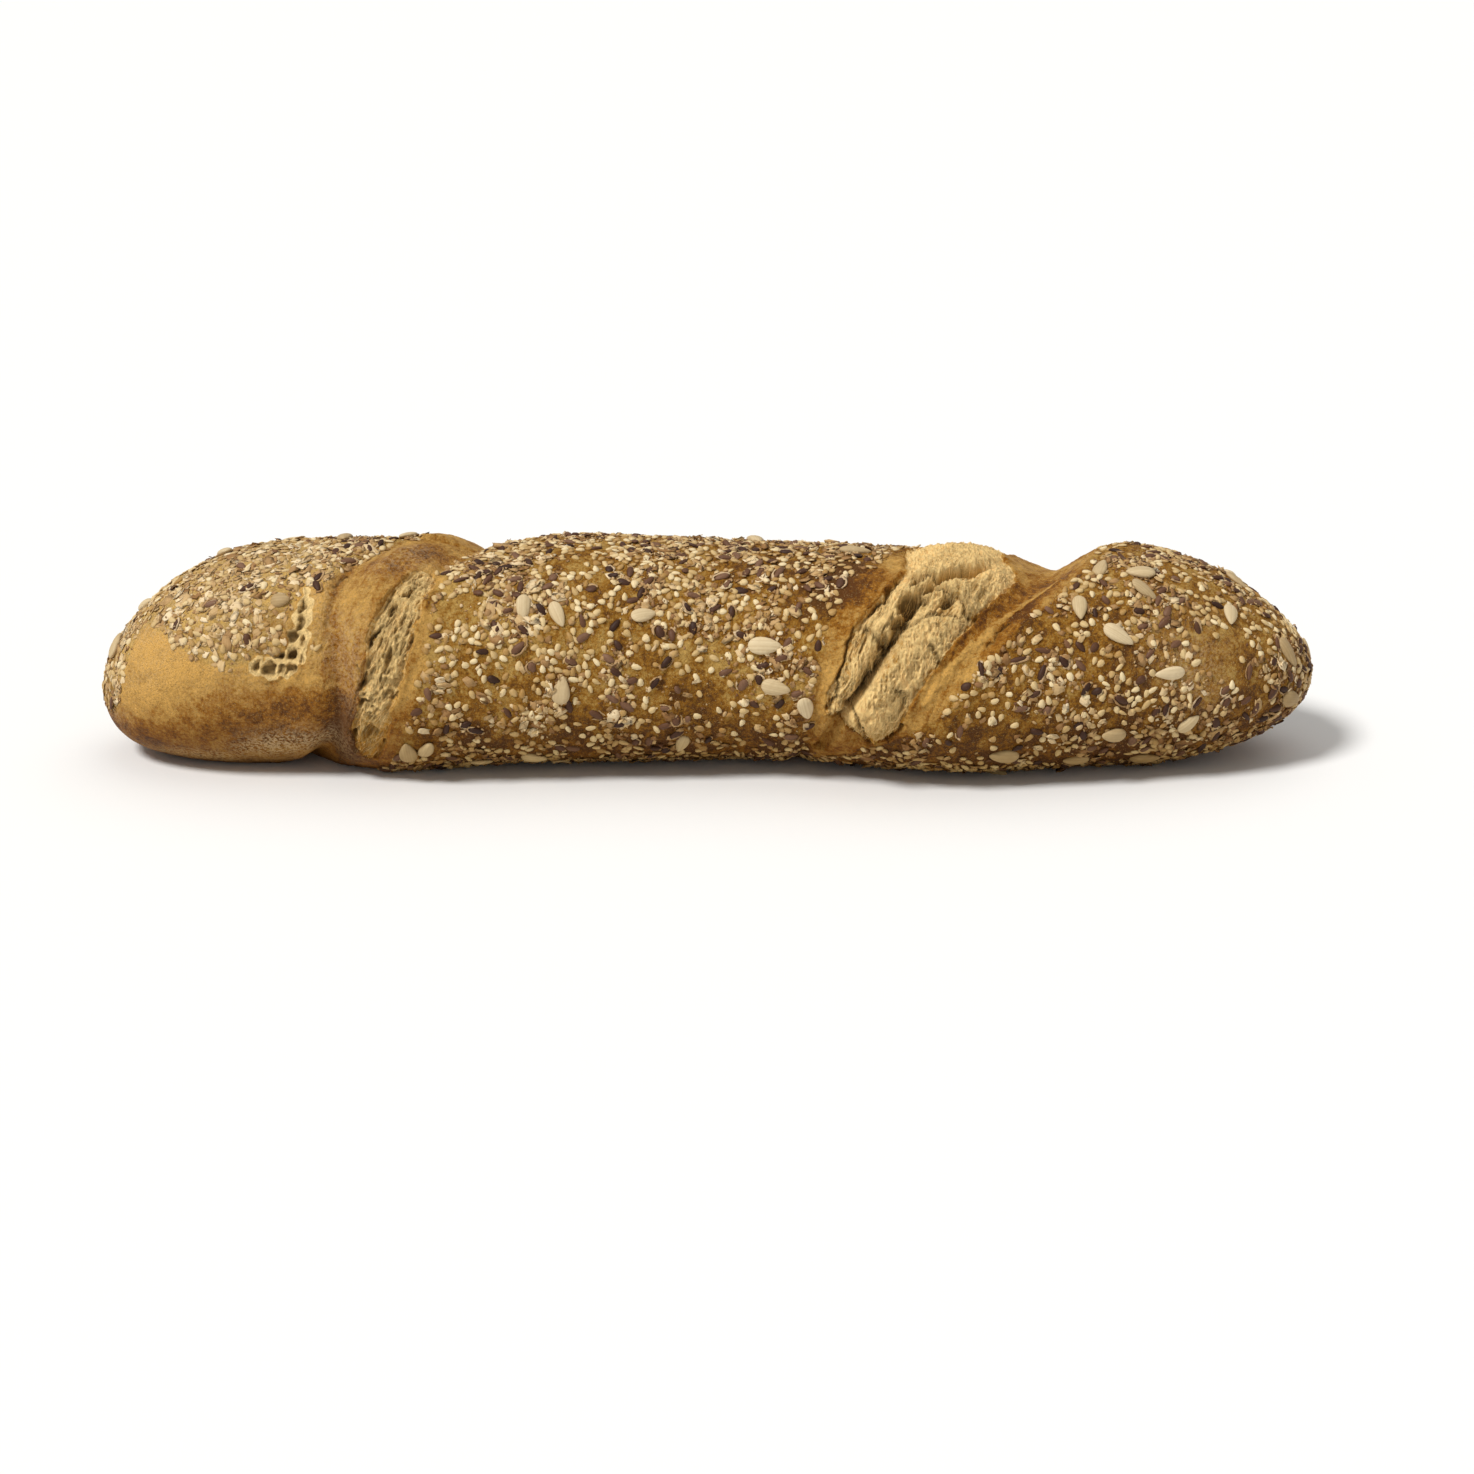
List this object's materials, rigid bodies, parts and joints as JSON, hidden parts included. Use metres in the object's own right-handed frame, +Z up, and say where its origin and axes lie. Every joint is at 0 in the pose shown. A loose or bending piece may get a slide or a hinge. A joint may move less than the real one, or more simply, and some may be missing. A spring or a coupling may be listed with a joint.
{
  "type": "rye bread loaf",
  "caption": "Long twisted rye loaf with rounded ends, a seed-coated crust, bare folded bands and open tears that show the crumb.",
  "frame": {"origin": "centre of the loaf's bounding box, on the flat underside it rests on", "axes": "+X along the loaf, with the wide tear on the +X side; -Y towards the shown side; +Z up"},
  "size_m": [0.385, 0.0904, 0.0688],
  "materials": {
    "crust": "dry floury crust with seeds"
  },
  "bodies": {
    "root": {"loaf": "crust"}
  },
  "joints": []
}
